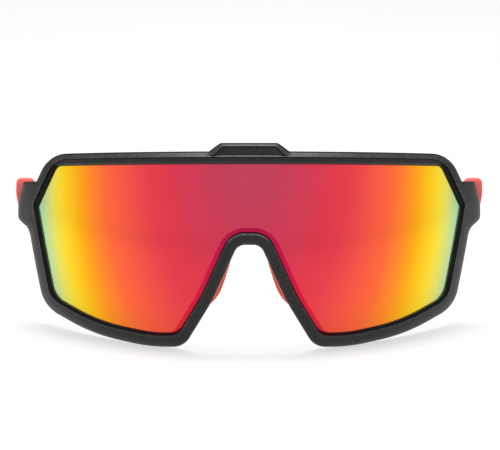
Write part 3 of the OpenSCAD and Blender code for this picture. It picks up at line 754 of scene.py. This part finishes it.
def build_lens():
    once = [i for i in range(COUNT) if i == 0 or not np.allclose(EDGE_HALF[i], EDGE_HALF[i - 1])]
    fall = per_station(BAND_FALL)[once]
    fall = np.concatenate([fall, fall[-2:0:-1]])
    loops = [(mirrored(ring_at(inset)[once]), r) for inset, r in (
        (less(WIDTH, LENS_LAP), LENS_R - fall),
        (less(WIDTH, 0.02), LENS_R - fall),
        ({k: WIDTH[k] + BAND_IN[k] for k in WIDTH}, LENS_R - 0.02),
    )]
    n = len(loops[0][0])
    field, tris = filled(loops[2][0])      # the band's inner loop is field[:n]
    front = np.concatenate([on_sphere(loop, r) for loop, r in loops[:2]] + [on_sphere(field, LENS_R)])
    faces, mats = [], []
    for k in range(2):
        for i in range(n):
            j = (i + 1) % n
            faces.append((k * n + i, k * n + j, (k + 1) * n + j, (k + 1) * n + i))
            mats.append(1)
    faces += [tuple(2 * n + v for v in t) for t in tris]
    mats += [0] * len(tris)
    total = len(front)
    back, tris = filled(loops[0][0])
    faces += [tuple(total + v for v in reversed(t)) for t in tris]
    mats += [2] * len(tris)
    for i in range(n):
        j = (i + 1) % n
        faces.append((i, total + i, total + j, j))
        mats.append(2)
    points = np.concatenate([front, on_sphere(back, SEAT_R)])
    low = (CENTRE_Z - points[:, 2]) / MIRROR_LOW
    spread = points[:, 0] ** 2 + SPREAD[0] + SPREAD[1] * low + SPREAD[2] * low**2
    reach = np.sqrt(np.maximum(spread, 0.0)) / MIRROR_REACH
    # the "low" mark also drives the mirror's painted shade towards its lower part
    piece = add_piece("shield_lens_mirror", points, faces, [MIRROR_FRONT, BAND, LENS_BACK],
                      "front", ["shield_lens"], mats, 30.0, {"reach": reach, "low": low})
    true_sphere_normals(piece.data)


def true_sphere_normals(mesh):
    """Gives the lens's two big faces the normals of their sphere, so that its mirror stays even."""
    centre = Vector(to_row([[0.0, LENS_R, CENTRE_Z]])[0])
    normals = [Vector(n.vector) for n in mesh.corner_normals]
    for face in mesh.polygons:
        sign = {0: 1.0, 2: -1.0}.get(face.material_index, 0.0)
        away = (face.center - centre).normalized()
        if sign == 0.0 or abs(face.normal.dot(away)) < 0.9:
            continue
        for corner in face.loop_indices:
            place = mesh.vertices[mesh.loops[corner].vertex_index].co
            normals[corner] = sign * (place - centre).normalized()
    mesh.normals_split_custom_set([tuple(n) for n in normals])


def filled(loop):
    """Points and triangles that fill a loop. Its own points come first, as delaunay keeps them."""
    xs, zs = np.arange(-66.4, 66.5, FIELD_STEP), np.arange(4.0, 56.0, FIELD_STEP)
    grid = np.array([(x, z) for x in xs for z in zs])
    flat = [Vector(p) for p in np.concatenate([loop, grid[inside(grid, loop, FIELD_MARGIN)]])]
    ring = list(range(len(loop)))
    made = delaunay_2d_cdt(flat, [(i, (i + 1) % len(loop)) for i in ring], [ring], 1, 1e-5)
    return np.array([tuple(v) for v in made[0]]), made[2]


def inside(points, loop, margin):
    """Points inside a loop and at least margin from its corners."""
    a, b = loop, np.roll(loop, -1, 0)
    x, z = points[:, 0][:, None], points[:, 1][:, None]
    crosses = (a[:, 1] > z) != (b[:, 1] > z)
    rise = np.where(np.abs(b[:, 1] - a[:, 1]) < 1e-12, 1e-12, b[:, 1] - a[:, 1])
    at = a[:, 0] + (z - a[:, 1]) / rise * (b[:, 0] - a[:, 0])
    odd = (crosses & (x < at)).sum(1) % 2 == 1
    near = np.sqrt((a[:, 0] - x) ** 2 + (a[:, 1] - z) ** 2).min(1)
    return odd & (near > margin)


build_lens()


# ---------------------------------------------------------------- arms and tip sleeves
def side_profile():
    """Lowest and highest z of the arm against y, from the CAD model's rounded side outline."""
    arm_top, arm_h, tip_drop, tip_h = LUG_TOP + 1.6, 13.7, 5.4, 10.2
    arm_foot = arm_top - arm_h
    tip_foot = arm_foot - tip_drop
    root_foot, root_h = arm_foot + 0.2, (arm_h + tip_h) / 2 - 2.8
    taper_end = ARM_FRONT + ARM_TAPER
    bottom = [(ARM_FRONT, arm_foot + 10, 0), (ARM_FRONT, arm_foot, 1.5),
              (taper_end, arm_foot + 1.4, 60.0), (SLEEVE_START, root_foot, 60.0),
              (ARM_END, tip_foot, 4.0), (ARM_END, tip_foot + 4.5, 0)]
    top = [(ARM_FRONT, arm_top - 3, 0), (ARM_FRONT, arm_top, 1.5), (taper_end, arm_top - 1.1, 60.0),
           (SLEEVE_START, root_foot + root_h, 60.0), (ARM_END, tip_foot + tip_h, 5.0),
           (ARM_END, tip_foot + 5.0, 0)]
    lines = []
    for corners in (bottom, top):
        pts = [np.array(c[:2]) for c in corners]
        path = [pts[0]]
        for i in range(1, len(pts) - 1):
            path += list(corner_arc(pts[i - 1], pts[i], pts[i + 1], corners[i][2], 14))
        path.append(pts[-1])
        lines.append(np.array(path))
    return lines


ARM_LOW, ARM_HIGH = side_profile()
# The sleeves are a little fuller than in the CAD model, so their underside is raised towards the tip,
# where it rests on the floor.
TIP_LIFT, TIP_LIFT_FROM, TIP_LIFT_RUN = 0.36, 16.0, 8.0


def profile_z(line, y):
    order = np.argsort(line[:, 0], kind="stable")
    return float(np.interp(y, line[order, 0], line[order, 1]))


def section(y, x_mid, thick, z0, z1, corner, swell=0.0, flute=0.0, ribs=0.0, grow=0.0, tuck=0.0):
    """Ring of points round the arm at y: a rounded box with a crowned outer face.

    swell crowns that face, flute cuts its groove, tuck draws its lower part in, ribs raise the inner
    face and grow enlarges the whole section.
    """
    a, b = thick / 2 + grow, (z1 - z0) / 2 + grow
    r = min(corner, a * 0.96, b * 0.96)
    mid = (z0 + z1) / 2
    ring = []
    face_n, arc_n = 14, 6
    corners = [(a - r, -(b - r)), (a - r, b - r), (-(a - r), b - r), (-(a - r), -(b - r))]
    for quarter, (cx, cz) in enumerate(corners):
        start = -90 + 90 * quarter
        for k in range(arc_n + 1):
            t = math.radians(start + 90 * k / arc_n)
            ring.append([cx + r * math.cos(t), cz + r * math.sin(t)])
        if quarter in (0, 2):
            sign = 1 if quarter == 0 else -1
            for k in range(1, face_n):
                f = k / face_n
                ring.append([sign * a, sign * (-(b - r) + 2 * (b - r) * f)])
    ring = np.array(ring)
    share = ring[:, 1] / max(b, 1e-6)
    out = ring[:, 0] > a - r - 1e-9
    ring[:, 0] += np.where(out, swell * (1 - share**2), 0.0)
    ring[:, 0] -= np.where(out, tuck * np.clip((0.35 - share) / 1.35, 0, 1) ** 1.5, 0.0)
    ring[:, 0] -= np.where(out, flute * np.exp(-((share + 0.08) / 0.2) ** 4), 0.0)
    ring[:, 0] += np.where(ring[:, 0] < -(a - r) + 1e-9, ribs * np.clip(1 - share**2 * 1.3, 0, 1), 0.0)
    return np.stack([x_mid + ring[:, 0], np.full(len(ring), y), mid + ring[:, 1]], 1)


def arm_middle(y):
    run = max(0.0, y - BOW_FROM)
    return ARM_X - (BOW_R - math.sqrt(BOW_R**2 - run * run))


def arm_thick(y):
    return 3.6 + 2.0 * max(0.0, min(1.0, (ARM_FRONT + ARM_TAPER - y) / ARM_TAPER))


def arm_rings(ys, corner, extra):
    rings = []
    for y in ys:
        z0, z1 = profile_z(ARM_LOW, y), profile_z(ARM_HIGH, y)
        z0 += TIP_LIFT * float(smooth((y - ARM_END + TIP_LIFT_FROM) / TIP_LIFT_RUN))
        rings.append(section(y, arm_middle(y), arm_thick(y), z0, z1, corner, **extra(y)))
    return rings


def eased(start, end, fillet, step):
    """Stations from start to end, closer together over a rounded end at start."""
    ends = [start + fillet * (1 - math.cos(math.radians(a))) for a in range(0, 91, 15)]
    n = max(2, math.ceil((end - ends[-1]) / step))
    return ends + [ends[-1] + (end - ends[-1]) * k / n for k in range(1, n + 1)]


def end_shrink(y, start, fillet):
    """How much an end section pulls in for a rounded edge of radius fillet."""
    return -rounding(y - start, fillet)


def build_arm(side, name):
    fillet = 0.7

    def extra(y):
        window = float(smooth((y - ARM_FRONT - 12) / 10) * smooth((SLEEVE_START - 6 - y) / 14))
        tuck = 2.0 * float(smooth((ARM_FRONT + 30 - y) / 30))
        return {"swell": 0.15, "flute": 0.42 * window, "grow": end_shrink(y, ARM_FRONT, fillet),
                "tuck": tuck}

    ys = eased(ARM_FRONT, SLEEVE_START, fillet, 1.5)
    points, faces = loft(arm_rings(ys, 1.5, extra))
    points[:, 0] *= side
    add_piece(f"arm_shell_{name}", points, faces, [CORAL], f"{name}_arm", [f"arm_{name}"])


def build_sleeve(side, name):
    start, fillet, pitch, tip = SLEEVE_START + 0.05, 0.35, 2.4, 7.0

    def extra(y):
        back = y - SLEEVE_START
        in_ribs = smooth((back - 12) / 2) * smooth((40 - back) / 2)
        wave = max(0.0, math.cos(2 * math.pi * back / pitch)) ** 2
        grow = 0.16 + end_shrink(y, start, fillet)
        near_end = (ARM_END - y) / 2.0
        if near_end < 1:
            grow -= 1.5 * (1 - math.sqrt(max(0.0, 1 - (1 - near_end) ** 2)))
        return {"swell": 0.15, "ribs": 0.35 * float(in_ribs) * wave, "grow": grow}

    ys = eased(start, ARM_END - tip, fillet, 0.4)
    ys += [ARM_END - tip * math.cos(math.radians(a)) for a in range(5, 90, 4)] + [ARM_END - 0.02]
    points, faces = loft(arm_rings(ys, 1.6, extra))
    points[:, 0] *= side
    add_piece(f"tip_sleeve_soft_{name}", points, faces, [CORAL_RUBBER], f"{name}_arm",
              [f"tip_sleeve_{name}"], sharp=50.0)


for side, name in ((1, "left"), (-1, "right")):
    build_arm(side, name)
    build_sleeve(side, name)


# ---------------------------------------------------------------- nose pads
PAD_HALF, PAD_SET_BACK, PAD_DEPTH, PAD_SPLAY = 7.8, 0.9, 12.3, math.radians(6.0)
PAD_RIBS, PAD_RIB_H, PAD_MIDDLE = 16, 0.25, 11.7
PAD_LOWER = 0.6         # the pad ends this much lower than in the CAD model, as in the photo
CARRIER_IN = 1.0


def pad_frame():
    """Origin and axes of the pad's own frame: x leaves the arch's wall, y goes in, z climbs it."""
    run = np.array([CORNERS[1][0] - CORNERS[0][0], CORNERS[0][1] - CORNERS[1][1]])
    lean = math.atan2(run[0], run[1])
    x, z = CORNERS[0][0] + PAD_MIDDLE * math.sin(lean), CORNERS[0][1] - PAD_MIDDLE * math.cos(lean)
    y = float(depth(x, z, FRONT_R))
    rise = math.atan2((CENTRE_Z - z) * math.cos(lean) + x * math.sin(lean), LENS_R - y)
    spin = np.array(Matrix.Rotation(-lean, 3, "Y") @ Matrix.Rotation(rise, 3, "X"))
    return np.array([x, y, z]), spin


def pad_bulge(t):
    """How far the soft face stands out, from the pad's lower end (t = 0) to its upper end."""
    return float(np.interp(t, [0, 0.06, 0.15, 0.28, 0.42, 0.6, 0.8, 0.9, 1], [
        0.1, 0.4, 0.82, 1.06, 0.98, 0.68, 0.32, 0.0, -0.4]))


def build_pad(side, name):
    carrier_from = RIM_BEFORE + RIM_BEHIND + PAD_HALF**2 / (2 * REAR_R) + 0.1
    pitch = 2 * PAD_HALF / PAD_RIBS
    slope = math.tan(PAD_SPLAY)
    rings = []
    steps = PAD_RIBS * 8
    for k in range(steps + 1):
        t = k / steps
        z = -PAD_HALF - PAD_LOWER + (2 * PAD_HALF + 0.58) * t
        wave = max(0.0, math.cos(2 * math.pi * ((z + PAD_HALF) / pitch - 0.5))) ** 0.7
        face = -pad_bulge(t) + 0.04 - PAD_RIB_H * wave * (1.0 - 0.35 * t)
        low, high = z + PAD_HALF + PAD_LOWER, PAD_HALF - z
        front = PAD_SET_BACK + min(max(0.0, rounding(low, 0.4), rounding(high, 2.5)), 2.2)
        back_end = min(max(0.0, rounding(low, 4.5), rounding(high, 4.5)), 4.5)
        back = PAD_SET_BACK + PAD_DEPTH - 0.6 * back_end - 0.1
        outer = CARRIER_IN + (back - carrier_from) * slope
        face_back = face + (back - front) * slope
        wall = max(-0.02, face + 0.4)
        lit = wall - min(0.14, 0.3 * (wall - face))
        ring = [(lit, front + 0.01), (lit - 0.03, front),
                (face + 0.15, front), (face + 0.05, front + 0.06), (face + 0.02, front + 0.3)]
        ring += [(face + (face_back - face) * f, front + (back - front) * f)
                 for f in np.linspace(0.08, 0.94, 9)]
        ring += [(face_back + 0.05, back - 0.25), (face_back + 0.35, back), (outer - 0.3, back),
                 (outer, back - 0.3), (CARRIER_IN - 0.02, carrier_from), (wall, carrier_from),
                 (wall, front + 0.02)]
        rings.append(np.array([(min(x, outer), y, z) for x, y in ring]))
    points, faces = loft(rings)
    # the first and last points of each ring bound the strip along the wall that carries a painted
    # highlight
    first_and_last = np.eye(len(rings[0]))[0] + np.eye(len(rings[0]))[-1]
    painted_highlight = np.tile(first_and_last, len(rings))
    origin, spin = pad_frame()
    points = origin + points @ spin.T
    points[:, 0] *= side
    add_piece(f"nose_pad_soft_{name}", points, faces, [PAD_RUBBER], "front",
              [f"nose_pad_{name}"], sharp=55.0, marks={"painted_highlight": painted_highlight})


for side, name in ((1, "left"), (-1, "right")):
    build_pad(side, name)


# ---------------------------------------------------------------- small CAD parts with fine edges
def finish_node(name, mat, width):
    piece = frame["nodes"][name]
    piece.data.materials.clear()
    piece.data.materials.append(mat)
    weld = piece.modifiers.new("weld", "WELD")
    weld.merge_threshold = 0.000002
    soft = piece.modifiers.new("edges", "BEVEL")
    soft.width = width / 1000
    soft.segments = 2
    soft.limit_method = "ANGLE"
    soft.angle_limit = math.radians(35)
    soft.harden_normals = False


finish_node("brow_panel", PANEL_BLACK, 0.12)
for name in ("left", "right"):
    finish_node(f"pad_carrier_{name}", CARRIER_BLACK, 0.15)
    finish_node(f"hinge_front_leaf_{name}", STEEL, 0.12)
    finish_node(f"hinge_rear_leaf_{name}", STEEL, 0.12)
    finish_node(f"hinge_screw_{name}", SCREW_STEEL, 0.08)
